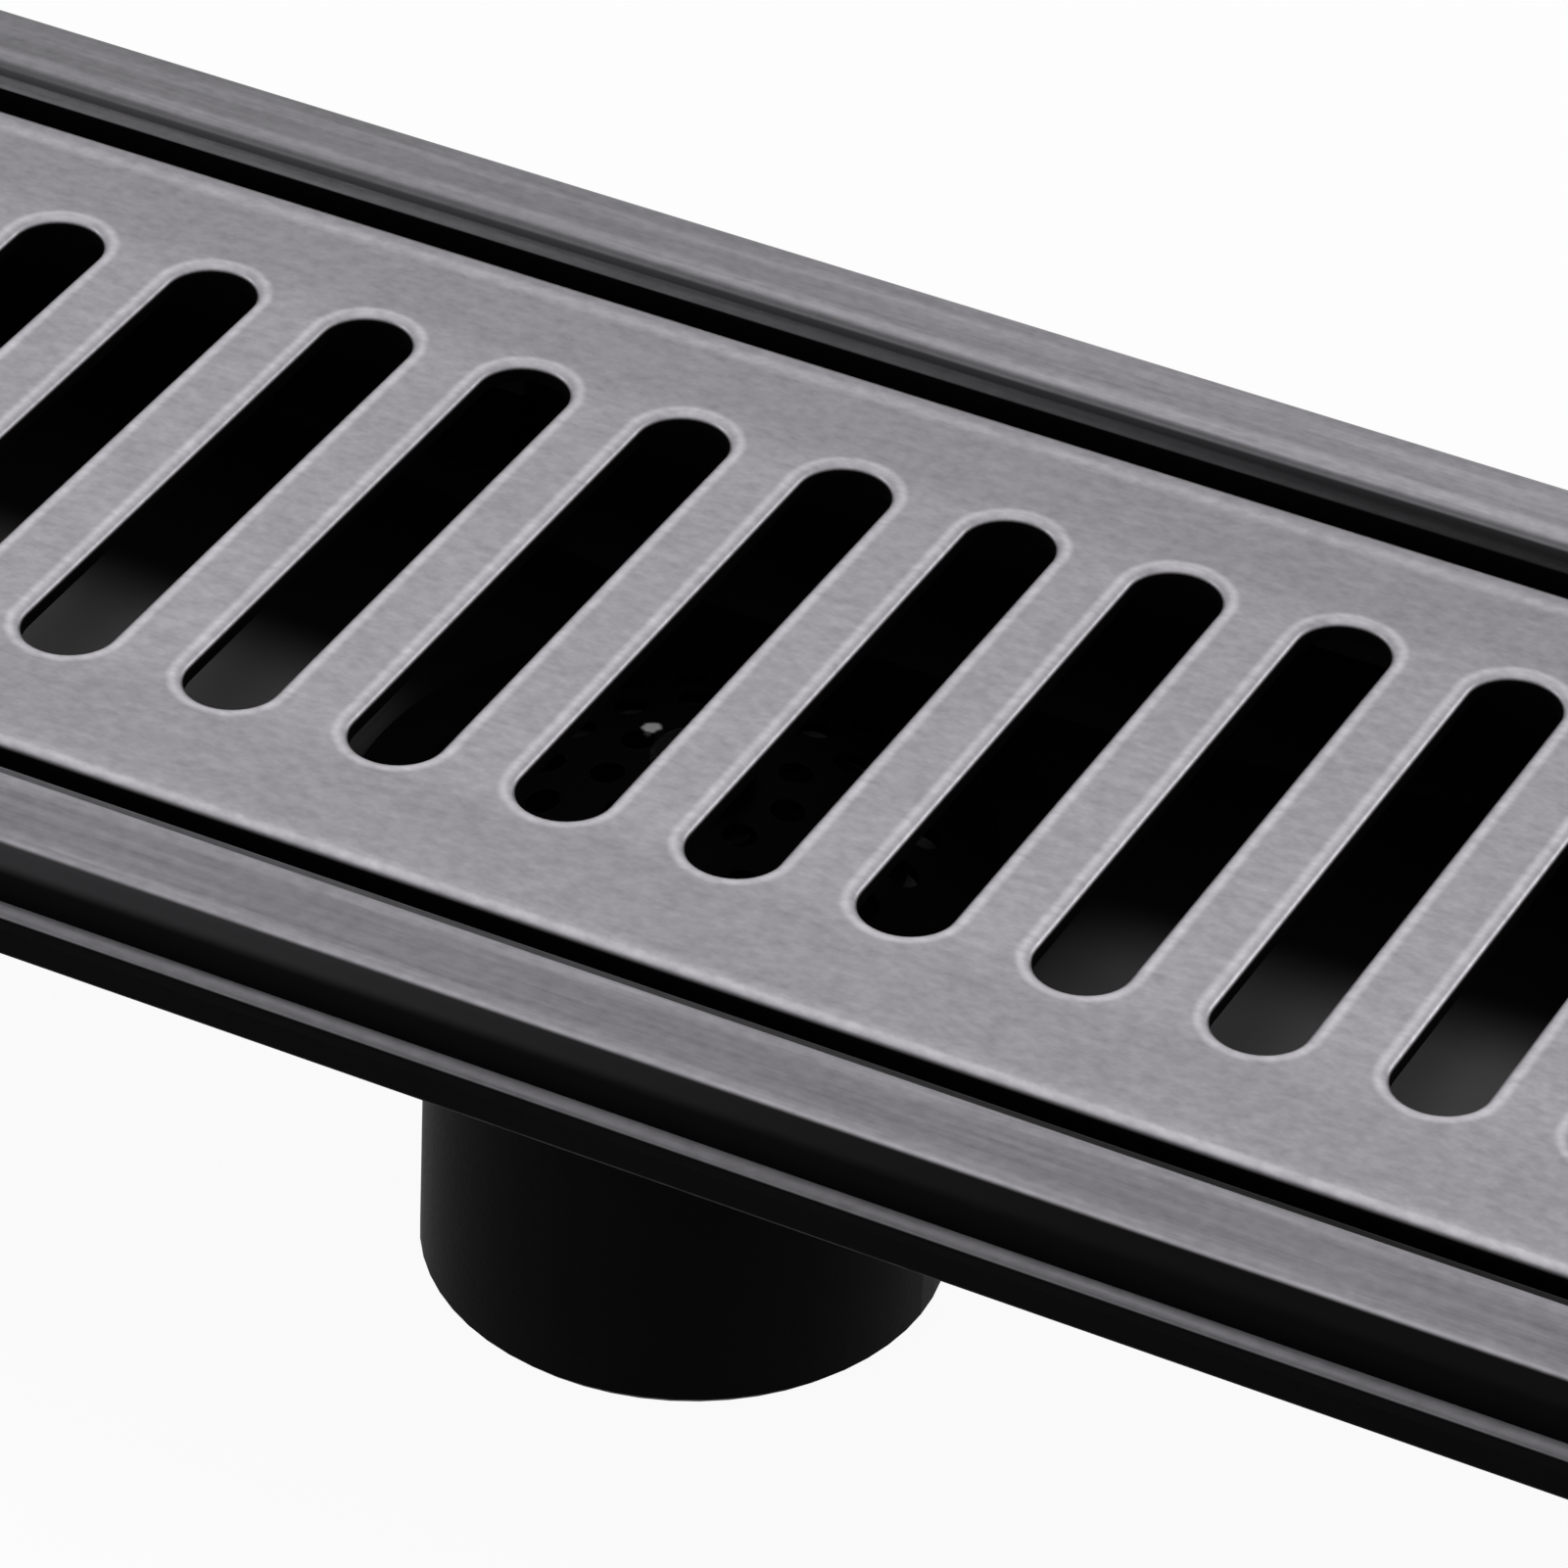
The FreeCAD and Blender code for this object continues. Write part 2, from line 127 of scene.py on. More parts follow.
bpy.context.scene.collection.objects.link(camera)
bpy.context.scene.camera = camera
bpy.context.scene.view_settings.view_transform = "Standard"
print("camera at", [round(value, 3) for value in placing.translation])

# %% [markdown]
# ## Writing shaders as sums
# A finish is a small calculation at every point of a surface: how far up it faces, how a brush stroke runs
# there, how rough it is. Nodes can be wired one by one, but then the sum is hard to read. Here a wire is a
# small object that knows plus, minus and times, so a mask can be written as it would be on paper. The greys
# of the photograph lean a little to violet, so nearly all the finishes share one tint.

# %% A wire that can be added and multiplied
class Wire:
    """An output of a node, used in sums like a number."""

    def __init__(self, finish, socket):
        self.finish = finish
        self.socket = socket

    def math(self, operation, *inputs):
        return self.finish.node("ShaderNodeMath", {"operation": operation}, dict(enumerate(inputs)))

    def __add__(self, other):
        return self.math("ADD", self, other)

    def __radd__(self, other):
        return self.math("ADD", other, self)

    def __sub__(self, other):
        return self.math("SUBTRACT", self, other)

    def __rsub__(self, other):
        return self.math("SUBTRACT", other, self)

    def __mul__(self, other):
        return self.math("MULTIPLY", self, other)

    def __rmul__(self, other):
        return self.math("MULTIPLY", other, self)

    def __abs__(self):
        return self.math("ABSOLUTE", self)

    def __round__(self):
        return self.math("ROUND", self)

    def at_most(self, other):
        return self.math("MINIMUM", self, other)

    def at_least(self, other):
        return self.math("MAXIMUM", self, other)

    def between(self, low, high):
        """0 below low, 1 above high and a smooth step from one to the other."""
        settings = {"interpolation_type": "SMOOTHSTEP"}
        return self.finish.node("ShaderNodeMapRange", settings,
                                {"Value": self, "From Min": low, "From Max": high})

    def band(self, centre, spread):
        """1 at the centre, falling smoothly to 0 one spread away on both sides."""
        return self.between(centre - spread, centre) * (1 - self.between(centre, centre + spread))


# %% A finish that collects nodes
violet_tint = (1.0, 0.97, 1.035)


class Finish:
    """A material or world whose nodes are added by one method."""

    def __init__(self, owner):
        self.owner = owner
        owner.use_nodes = True
        self.tree = owner.node_tree
        self.tree.nodes.clear()

    def node(self, kind, settings, inputs, output=0):
        """Adds one node, sets it, feeds it and returns the output asked for."""
        node = self.tree.nodes.new(kind)
        for name, value in settings.items():
            setattr(node, name, value)
        for key, value in inputs.items():
            socket = self.socket(node.inputs, key)
            if isinstance(value, Wire):
                self.tree.links.new(value.socket, socket)
            else:
                socket.default_value = value
        return Wire(self, self.socket(node.outputs, output))

    @staticmethod
    def socket(sockets, key):
        """The socket with this number, or with this identifier, or else with this name."""
        if isinstance(key, int):
            return sockets[key]
        named = {socket.name: socket for socket in reversed(sockets)}
        named.update({socket.identifier: socket for socket in sockets})
        return named[key]

    def vector(self, operation, inputs, output=0):
        """One step of vector maths."""
        return self.node("ShaderNodeVectorMath", {"operation": operation}, inputs, output)

    def place(self):
        """Where a point lies on the object, in millimetres."""
        metres = self.node("ShaderNodeTexCoord", {}, {}, "Object")
        return self.vector("SCALE", {0: metres, "Scale": 1 / millimetre})

    def axis(self, vector, name):
        return self.node("ShaderNodeSeparateXYZ", {}, {"Vector": vector}, name)

    def facing(self, name):
        """One part of the surface's own direction, from -1 to 1."""
        return self.axis(self.node("ShaderNodeTexCoord", {}, {}, "Normal"), name)

    def distance(self, point):
        """How far a point of the surface lies from one spot, in millimetres."""
        return self.vector("DISTANCE", {0: self.place(), 1: point}, "Value")

    def noise(self, scale, detail=2.0, roughness=0.5):
        """Smooth noise from 0 to 1, with so many waves to a millimetre along each axis."""
        stretched = self.vector("MULTIPLY", {0: self.place(), 1: scale})
        return self.node("ShaderNodeTexNoise", {"noise_dimensions": "3D"},
                         {"Vector": stretched, "Scale": 1.0, "Detail": detail, "Roughness": roughness})

    def mix(self, mask, first, second):
        """The first colour where the mask is 0 and the second where it is 1."""
        return self.node("ShaderNodeMix", {"data_type": "RGBA"},
                         {"Factor_Float": mask, "A_Color": first, "B_Color": second}, "Result_Color")

    def tinted(self, level):
        """A grey with this level of linear light, leaning to violet."""
        return self.vector("SCALE", {0: violet_tint, "Scale": level})

    def bump(self, height, depth, strength):
        """A surface direction tilted by a height, given in shares of a depth in millimetres."""
        return self.node("ShaderNodeBump", {}, {
            "Height": height, "Distance": depth * millimetre, "Strength": strength})

    def surface(self, **inputs):
        """The main shader. Names of its inputs have underscores for spaces."""
        inputs = {name.replace("_", " "): value for name, value in inputs.items()}
        return self.node("ShaderNodeBsdfPrincipled", {}, inputs)

    def close(self, shader, output="ShaderNodeOutputMaterial"):
        """Feeds the shader to the output and hands back the finished material or world."""
        node = self.tree.nodes.new(output)
        self.tree.links.new(shader.socket, node.inputs["Surface"])
        print("finished", self.owner.name, "with", len(self.tree.nodes), "nodes")
        return self.owner


def grey(value):
    return (value, value, value, 1.0)


# %% [markdown]
# ## White floor and white surroundings
# The photograph has a pure white ground. A brighter lamp would burn out the metal, so the ground itself is
# made white to the camera and to reflections, while the drain still throws a soft shadow on it. Light Path
# tells those rays apart from the ones that carry light from surface to surface. Away from the drain the
# floor turns wholly white, so that no horizon shows.

# %% Rays that see the ground itself
def seen_directly(finish):
    """1 for rays from the camera, mirrors and glass, 0 for rays that gather light."""
    rays = [finish.node("ShaderNodeLightPath", {}, {}, name)
            for name in ("Is Camera Ray", "Is Glossy Ray", "Is Transmission Ray")]
    return rays[0].at_least(rays[1]).at_least(rays[2])


# %% Floor
floor_reach = 8.0
floor_colour = 0.85
floor_shade = 0.06
shaded_reach, white_reach = 100, 500
floor_mesh = bmesh.new()
bmesh.ops.create_grid(floor_mesh, x_segments=1, y_segments=1, size=floor_reach)
floor = bpy.data.objects.new("floor", bpy.data.meshes.new("floor"))
floor_mesh.to_mesh(floor.data)
floor_mesh.free()
bpy.context.scene.collection.objects.link(floor)
floor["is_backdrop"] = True
paper = Finish(bpy.data.materials.new("floor_paper"))
paper_shadow = paper.node("ShaderNodeBsdfDiffuse", {}, {"Color": grey(floor_colour)})
paper_white = paper.node("ShaderNodeEmission", {}, {"Color": grey(1.0), "Strength": 1.0})
near_drain = 1 - paper.distance((0, 0, 0)).between(shaded_reach, white_reach)
floor.data.materials.append(paper.close(paper.node("ShaderNodeMixShader", {}, {
    "Fac": seen_directly(paper) * (1 - near_drain * floor_shade), 1: paper_shadow, 2: paper_white})))

# %% Surroundings
ambient_light = 0.6
surroundings = Finish(bpy.data.worlds.new("surroundings"))
bpy.context.scene.world = surroundings.owner
sky = surroundings.mix(seen_directly(surroundings), grey(ambient_light), grey(1.0))
surroundings.close(surroundings.node("ShaderNodeBackground", {}, {"Color": sky, "Strength": 1.0}),
                   "ShaderNodeOutputWorld")

# %% [markdown]
# ## Soft lamps
# Brushed metal shows every lamp as a stripe, so the lamps are large and faint and lie far from the mirror
# direction of the grate: one wide softbox overhead, and two smaller ones low at the left and behind, whose
# sheen shapes the black sides.

# %% Softboxes
def softbox(name, place, aim, width, height, watts):
    """A rectangular area lamp that points at a spot."""
    lamp = bpy.data.lights.new(name, "AREA")
    lamp.shape = "RECTANGLE"
    lamp.size = width
    lamp.size_y = height
    lamp.energy = watts
    holder = bpy.data.objects.new(name, lamp)
    turn = (Vector(aim) - Vector(place)).to_track_quat("-Z", "Y")
    holder.matrix_world = Matrix.Translation(place) @ turn.to_matrix().to_4x4()
    bpy.context.scene.collection.objects.link(holder)


drain_middle = (0, 0, 0.05)
softbox("overhead_softbox", (-0.2, -0.3, 1.8), drain_middle, width=2.4, height=2.0, watts=9.0)
softbox("left_softbox", (-1.6, -0.6, 0.5), drain_middle, width=0.5, height=0.9, watts=5.0)
softbox("rear_softbox", (1.3, 1.5, 0.5), drain_middle, width=0.5, height=0.9, watts=5.0)
print("lamps", [holder.name for holder in bpy.data.objects if holder.type == "LIGHT"])

# %% [markdown]
# ## Brushing and coat
# The frame and the grate are coated black, and then their upper faces are brushed back to bare metal. So
# the finish depends on which way a face points: up is metal, sideways is black. The brush strokes are noise
# that is stretched along the drain's length. A fine grain and faint clouds break up the even tone.

# %% Shared parts of the metal finish
black_coat = 0.0014
coat_roughness, metal_roughness = 0.6, 0.4
stroke_waves = (0.05, 1.6, 1.6)
grain_waves = (0.8, 1.2, 1.2)
cloud_waves = (0.16, 0.26, 0.26)
cloud_depth = 0.14


def brushing(finish, stroke_depth, grain_depth):
    """Strokes along the drain, and a tone near 1 that they make together with grain and clouds."""
    strokes = finish.noise(stroke_waves, detail=3.0, roughness=0.6)
    grain = finish.noise(grain_waves, roughness=0.6)
    clouds = finish.noise(cloud_waves, detail=3.0, roughness=0.55)
    uneven = (strokes - 0.5) * stroke_depth + (grain - 0.5) * grain_depth + (clouds - 0.5) * cloud_depth
    return strokes, uneven + 1


def rectangle_inset(finish, half_length, half_width, corner):
    """Distance in millimetres inwards from a rounded rectangle about the drain's centre."""
    place = finish.place()
    over_x = abs(finish.axis(place, "X")) - (half_length - corner)
    over_y = abs(finish.axis(place, "Y")) - (half_width - corner)
    past_corner = {"X": over_x.at_least(0), "Y": over_y.at_least(0)}
    beyond = finish.vector("LENGTH", {0: finish.node("ShaderNodeCombineXYZ", {}, past_corner)}, "Value")
    return corner - beyond - over_x.at_least(over_y).at_most(0)


def brushed_coat(finish, bare, metal, coat, metallic, strokes):
    """The shader of a coated and brushed piece: metal where it is bare, black coat elsewhere."""
    return finish.close(finish.surface(
        Base_Color=finish.tinted(coat + bare * (metal - coat)),
        Metallic=metallic,
        Roughness=coat_roughness + bare * (metal_roughness - coat_roughness) + (strokes - 0.5) * 0.2,
        Specular_IOR_Level=0.03,
        Normal=finish.bump(strokes, depth=0.03, strength=0.3),
    ))


def wear(material, *nodes):
    """Gives nodes of the frame a new finish in each of their slots."""
    for node in nodes:
        mesh = frame["nodes"][node].data
        if not mesh.materials:
            mesh.materials.append(material)
        for index in range(len(mesh.materials)):
            mesh.materials[index] = material
    print(material.name, "on", len(nodes), "pieces")


# %% [markdown]
# ## Surround frame
# The frame's rim is darker than the grate and carries two painted highlight lines near its edges. Its narrow
# outer foot and inner ledge lie lower and are less metallic. The ledge is painted in shade, lighter at the
# left as painted light falling from there, and the foot has a painted highlight line along its edge. The
# black skirt and the riser inside the rim carry a painted sheen towards the top, stronger at the left. All
# of these follow the outline, so they are painted from how far a point lies inside it. The distance is
# measured twice, because the opening's corners are rounder than the outer ones. The rear of the rim is
# painted lighter towards the right and darker at the left, as painted light, and the rear edge of the
# opening is painted in shade.

# %% Finish of the surround frame
frame_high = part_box("surround_frame")[1] / millimetre
outer_corner = 4.0
opening_corner_centre = 12.65
rim_inside = 9.3
foot_edge = (1.6, 1.9)
outer_line_place, inner_line_place, line_spread = 3.4, 8.0, 1.2
# Spans in millimetres over which painted light fades in from the left end and across to the rear.
left_fade, rear_fade = (-90, 70), (-30, 30)
# The last pair: how far below the rim top the painted sheen on the skirt fades out.
step_down, upper_sheen_fade = (0.5, 0.9), (1.6, 2.8)
# ledge_tone is the ledge in painted shade; a painted highlight line is added to foot_tone.
rim_tone, ledge_tone, foot_tone = 0.188, 0.012, 0.08


def frame_finish():
    finish = Finish(bpy.data.materials.new("frame_brushed"))
    strokes, tone = brushing(finish, stroke_depth=0.8, grain_depth=0.5)
    place = finish.place()
    across = finish.axis(place, "Y")
    below_rim = frame_high.z - finish.axis(place, "Z")
    inset = rectangle_inset(finish, frame_high.x, frame_high.y, outer_corner)
    inner = rectangle_inset(finish, frame_high.x, frame_high.y, opening_corner_centre)
    # left: painted light falling from the left, 1 at the left end and 0 towards the right.
    left = 1 - finish.axis(place, "X").between(*left_fade)
    # rear: the far side, where the painted light and shade differ.
    rear = across.between(*rear_fade)
    inside = inner.between(rim_inside - 0.3, rim_inside)
    upward = finish.facing("Z") + inner.between(5, 7) * 0.25
    # On the rear edge of the opening less bare metal shows: painted shade there.
    bare = upward.between(0.6, 0.92) * (1 - rear * inner.band(rim_inside - 0.3, 0.5) * 0.6)
    # Two painted highlight lines run along the rim, near its inner and outer edges.
    inner_line = (inner + across * 0.006).band(inner_line_place, line_spread)
    outer_line = (inset - across * 0.018).band(outer_line_place, line_spread)
    painted_highlights = inner_line * (0.07 + rear * (1 - left) * 0.03) + outer_line * 0.05
    # Painted light on the rear of the rim: lighter towards the right, darker at the left.
    rim = rim_tone + rear * (0.06 - left * 0.09) + painted_highlights
    lower = below_rim.between(*step_down)
    # The ledge is painted in shade, and lighter at the left as painted light.
    ledge = ledge_tone + left * 0.115
    # A painted highlight line along the foot's edge.
    foot = foot_tone + inset.band(0.85, 1.1) * 0.2
    low_face = ledge + (1 - inset.between(*foot_edge)) * (foot - ledge)
    metal = (rim + lower * (low_face - rim)) * tone
    # A painted sheen on the skirt and the inner riser, towards the top of each, stronger at the left.
    upper_sheen = (1 - below_rim.between(*upper_sheen_fade)) * (1 - inner.between(rim_inside + 0.1, rim_inside + 0.4))
    coat = black_coat + upper_sheen * (0.003 + left * 0.044 + inside * 0.022)
    return brushed_coat(finish, bare, metal, coat, bare * (1 - lower * 0.9), strokes)


wear(frame_finish(), "surround_frame")

# %% [markdown]
# ## Slotted grate
# The grate is the brightest piece. A painted highlight line runs round every slot, just outside the rounded
# edge, and a fainter one along the folded edges, and the grate is painted lighter towards the near side as
# painted light. The line round a slot is painted from the distance to a round-ended slot, with the slots
# counted off by rounding the length to the pitch.

# %% Distance to the slots
slot_pitch = 13.5
slot_width = 7.0
slot_half_length = 25.25
slots_each_way = 9


def slot_distance(finish):
    """Distance in millimetres outwards from the edge of the nearest slot."""
    place = finish.place()
    along = finish.axis(place, "X")
    number = round(along * (1 / slot_pitch)).at_most(slots_each_way).at_least(-slots_each_way)
    beside = along - number * slot_pitch
    past_end = (abs(finish.axis(place, "Y")) - (slot_half_length - slot_width / 2)).at_least(0)
    offset = finish.node("ShaderNodeCombineXYZ", {}, {"X": beside, "Y": past_end})
    return finish.vector("LENGTH", {0: offset}, "Value") - slot_width / 2


# %% Finish of the slotted grate
grate_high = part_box("slotted_grate")[1] / millimetre
grate_corner = 2.0
grate_tone = 0.278
bar_ends = (22, 28)
# Where the painted highlight lines lie, in millimetres out from a slot and in from the folded edge.
slot_line_place, slot_line_spread = 0.85, 0.6
fold_line_place, fold_line_spread = 1.6, 1.2


def grate_finish():
    finish = Finish(bpy.data.materials.new("grate_brushed"))
    strokes, tone = brushing(finish, stroke_depth=0.2, grain_depth=0.6)
    across = finish.axis(finish.place(), "Y")
    bare = finish.facing("Z").between(0.3, 0.7)
    bars = 1 - abs(across).between(*bar_ends)
    # A painted highlight round every slot.
    outline = slot_distance(finish).band(slot_line_place, slot_line_spread)
    inset = rectangle_inset(finish, grate_high.x, grate_high.y, grate_corner)
    # A painted highlight along the folded edges, stronger at the rear.
    folded = (inset - across * 0.02).band(fold_line_place, fold_line_spread)
    painted_highlights = outline * 0.16 + folded * (0.075 + across * 0.0008)
    # Painted light: the grate is lighter towards the near side.
    metal = grate_tone - across * 0.0006 + bars * 0.045 + painted_highlights
    return brushed_coat(finish, bare, metal * tone, black_coat, bare, strokes)


wear(grate_finish(), "slotted_grate")

# %% [markdown]
# ## Black tray
# The tray is moulded in one piece from black plastic. Its outside is dull from a fine grain in the mould,
# while a strip along the middle of the falling floor, where most of the water runs, is worn smoother and
# paler. Its gloss gives a faint real reflection of the light that comes down through the slots, and its
# paler colour is a painted reflection. Two shaders are mixed by how far up a face points and where it
# lies. The rounded lower edges are painted paler, as a highlight and as wear from knocks, broken up by
# noise.

# %% Moulded plastic
mould_grain_waves = (2.2, 2.2, 2.2)
mould_cloud_waves = (0.09, 0.09, 0.09)


def moulded(finish, colour, roughness, gloss, grain_depth=0.4):
    """A shader of grained plastic or paint with faint clouds."""
    grain = finish.noise(mould_grain_waves)
    clouds = finish.noise(mould_cloud_waves, detail=3.0)
    return finish.surface(
        Base_Color=finish.tinted((clouds * 0.6 + 0.7) * colour),
        Roughness=(grain - 0.5) * 0.1 + roughness,
        Specular_IOR_Level=gloss,
        Normal=finish.bump(grain, depth=0.05, strength=grain_depth),
    )


# %% Finish of the tray
# glint_tone: the paler colour of the glossy strip, a painted reflection.
tray_tone, glint_tone = 0.0018, 0.05
strainer_edge = (24, 34)
# Where the glossy strip lies across the floor, placed where the glints show through the slots.
glint_strip_middle, glint_strip_edge = -3, (3, 13)
edge_highlight_waves = (0.4, 0.4, 0.4)


def tray_finish():
    finish = Finish(bpy.data.materials.new("tray_black"))
    place = finish.place()
    upward = finish.facing("Z")
    off_strainer = abs(finish.axis(place, "X")).between(*strainer_edge)
    off_glint_strip = abs(finish.axis(place, "Y") - glint_strip_middle).between(*glint_strip_edge)
    # The glossy strip: real gloss, and a paler colour that is a painted reflection.
    glint_strip = upward.between(0.85, 0.95) * off_strainer * (1 - off_glint_strip)
    # A painted highlight along the lower rounded edges, broken up by noise like wear from knocks.
    edge_highlight = upward.band(-0.5, 0.3) * finish.noise(edge_highlight_waves).between(0.3, 0.6)
    dull = moulded(finish, tray_tone + edge_highlight * 0.03, roughness=0.5, gloss=0.018)
    # The strip's shader: glossier, with a paler colour as a painted reflection.
    sheen_and_wear = moulded(finish, glint_tone, roughness=0.3, gloss=0.3, grain_depth=0.1)
    return finish.close(finish.node("ShaderNodeMixShader", {}, {"Fac": glint_strip, 1: dull, 2: sheen_and_wear}))


wear(tray_finish(), "drain_tray")

# %% [markdown]
# ## Odour trap
# The trap's sleeve, disc and cap are dark grey plastic, lighter than the tray so that they can be told
# apart when the trap is lifted out. One grained shader does for all three.

# %% Finish of the trap
trap = Finish(bpy.data.materials.new("trap_grey"))
trap_grey = trap.close(moulded(trap, colour=0.03, roughness=0.45, gloss=0.3))
wear(trap_grey, "trap_sleeve", "valve_disc", "spring_cap")

# %% [markdown]
# ## Pieces of our own
# A few pieces need finer shapes than the frame carries. Each starts as a bmesh, is shaped by operators and
# then becomes an object that rides on a body of the frame and stands for the plain node there. Doubles are
# merged first, because only a closed skin can be turned the right way out.

# %% From a bmesh to a piece
same_point = 0.004 * millimetre
sharp_edge = math.radians(35)


def merge(mesh):
    """Joins points that lie on each other and turns all faces outwards."""
    bmesh.ops.remove_doubles(mesh, verts=mesh.verts[:], dist=same_point)
    bmesh.ops.recalc_face_normals(mesh, faces=mesh.faces[:])


def new_piece(name, mesh, material, body, stands_for):
    """Closes a bmesh, makes it an object and hands it to the frame."""
    merge(mesh)
    open_edges = sum(not edge.is_manifold for edge in mesh.edges)
    data = bpy.data.meshes.new(name)
    mesh.to_mesh(data)
    mesh.free()
    data.shade_smooth()
    data.set_sharp_from_angle(angle=sharp_edge)
    data.materials.append(material)
    piece = bpy.data.objects.new(name, data)
    bpy.context.scene.collection.objects.link(piece)
    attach(piece, body)
    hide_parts(stands_for)
    print(name, "faces", len(data.polygons), "open edges", open_edges)
    return piece


def chain(mesh, points):
    """Joins points, given in millimetres as radius and height, into a line to be spun."""
    verts = [mesh.verts.new(Vector((radius, 0, height)) * millimetre) for radius, height in points]
    return verts + [mesh.edges.new(pair) for pair in zip(verts, verts[1:])]


def spin(mesh, geometry, turns, steps, rise=0.0):
    """Turns geometry about the outlet's axis and lifts it as it turns. Returns where it ends."""
    return bmesh.ops.spin(mesh, geom=geometry, axis=(0, 0, 1), angle=turns * 2 * math.pi, steps=steps,
                          dvec=(0, 0, rise * millimetre / steps), use_merge=not rise)["geom_last"]


# %% [markdown]
# ## Hair strainer and lifting knob
# The strainer is a drilled dome with a matt black coat, and one spot near the knob is painted as a glint:
# a patch of bright metal. The knob is turned from rod, with a notched grip round its head, and coated too;
# its top edge is painted lighter, a painted sheen together with the coat worn thin there. Its outline is
# spun, the top edge is bevelled, and every other face of the side is inset.

# %% Finish of the strainer and its knob
knob_low, knob_high = (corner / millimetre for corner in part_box("strainer_knob"))
strainer_coat = 0.0009
# Where the painted glint of bright metal sits on the strainer, and how soft its edge is.
glint_speck_place = (-6.5, 4.4, 42.48)
glint_speck_edge = (0.45, 0.9)
ragged_waves = (2.0, 2.0, 2.0)
knob_mark_waves = (3.0, 3.0, 0.9)


def strainer_finish():
    finish = Finish(bpy.data.materials.new("strainer_coat"))
    ragged = (finish.noise(ragged_waves) - 0.5) * 0.5
    # A painted glint: a small spot of bright metal.
    glint_speck = 1 - (finish.distance(glint_speck_place) + ragged).between(*glint_speck_edge)
    bright = finish.surface(Base_Color=grey(0.5), Metallic=0.4, Roughness=ragged + 0.5)
    return finish.close(finish.node("ShaderNodeMixShader", {}, {
        "Fac": glint_speck, 1: moulded(finish, strainer_coat, roughness=0.5, gloss=0.014), 2: bright}))


def knob_finish():
    finish = Finish(bpy.data.materials.new("knob_coat"))
    marks = finish.noise(knob_mark_waves)
    height = finish.axis(finish.place(), "Z")
    # A painted sheen along the top edge, together with the coat worn thin there.
    sheen_and_wear = height.band(knob_high.z - 0.25, 0.35) * marks.between(0.35, 0.65)
    return finish.close(finish.surface(
        Base_Color=finish.tinted((marks * 0.4 + 0.8) * (strainer_coat + sheen_and_wear * 0.02)),
        Roughness=0.6 + (marks - 0.5) * 0.1,
        Specular_IOR_Level=0.045,
        Normal=finish.bump(marks, depth=0.03, strength=0.3),
    ))


wear(strainer_finish(), "hair_strainer")

# %% Lifting knob
knob_radius = knob_high.x
tail_radius, neck_radius, collar_radius = 2.6, 1.5, 2.4
dome_top = knob_high.z - 2.4
dome_inside = dome_top - 0.8
head_low = dome_top + 0.7
head_chamfer, head_rounding = 0.2, 0.7
grips, grip_margin, grip_depth = 30, 0.05, 0.14
tolerance, side_tolerance = 0.01, 0.1
knob = bmesh.new()
outline = chain(knob, [
    (0, knob_low.z), (tail_radius, knob_low.z), (tail_radius, dome_inside), (neck_radius, dome_inside),
    (neck_radius, dome_top), (collar_radius, dome_top), (collar_radius, head_low),
    (knob_radius - head_chamfer, head_low), (knob_radius, head_low + head_chamfer),
    (knob_radius, knob_high.z), (0, knob_high.z),
])
spin(knob, outline, 1, grips * 2)
merge(knob)
top_edges = [edge for edge in knob.edges if all(
    abs(vert.co.z / millimetre - knob_high.z) < tolerance
    and vert.co.xy.length / millimetre > knob_radius - tolerance for vert in edge.verts)]
bmesh.ops.bevel(knob, geom=top_edges, affect="EDGES", offset=head_rounding * millimetre, segments=4,
                profile=0.5, material=-1)
knob.normal_update()
side = [face for face in knob.faces if abs(face.normal.z) < tolerance
        and face.calc_center_median().xy.length / millimetre > knob_radius - side_tolerance]
side.sort(key=lambda face: math.atan2(face.calc_center_median().y, face.calc_center_median().x))
bmesh.ops.inset_individual(knob, faces=side[::2], thickness=grip_margin * millimetre,
                           depth=-grip_depth * millimetre)
new_piece("lifting_knob", knob, knob_finish(), "drain", "strainer_knob")

# %% [markdown]
# ## Valve stem
# The stem is a steel rod with a thread for the nut at its lower end. A thread is one ridge that climbs as
# it goes round, so a ridge of one pitch is spun for many turns and lifted by a pitch in each, and the turns
# then meet. A flat cut trims each end, and the upper one is bridged to a plain rod.

# %% Turned steel
turning_waves = (0.6, 0.6, 5.0)


def turned_steel(name, colour, roughness):
    """Bright metal with fine marks from turning."""
    finish = Finish(bpy.data.materials.new(name))
    marks = finish.noise(turning_waves)
    return finish.close(finish.surface(
        Base_Color=finish.tinted((marks * 0.3 + 0.82) * colour),
        Metallic=1.0,
        Roughness=(marks - 0.5) * 0.15 + roughness,
        Normal=finish.bump(marks, depth=0.02, strength=0.3),
    ))


satin_steel = turned_steel("satin_steel", colour=0.5, roughness=0.35)
bright_steel = turned_steel("bright_steel", colour=0.6, roughness=0.18)
wear(satin_steel, "stem_nut")

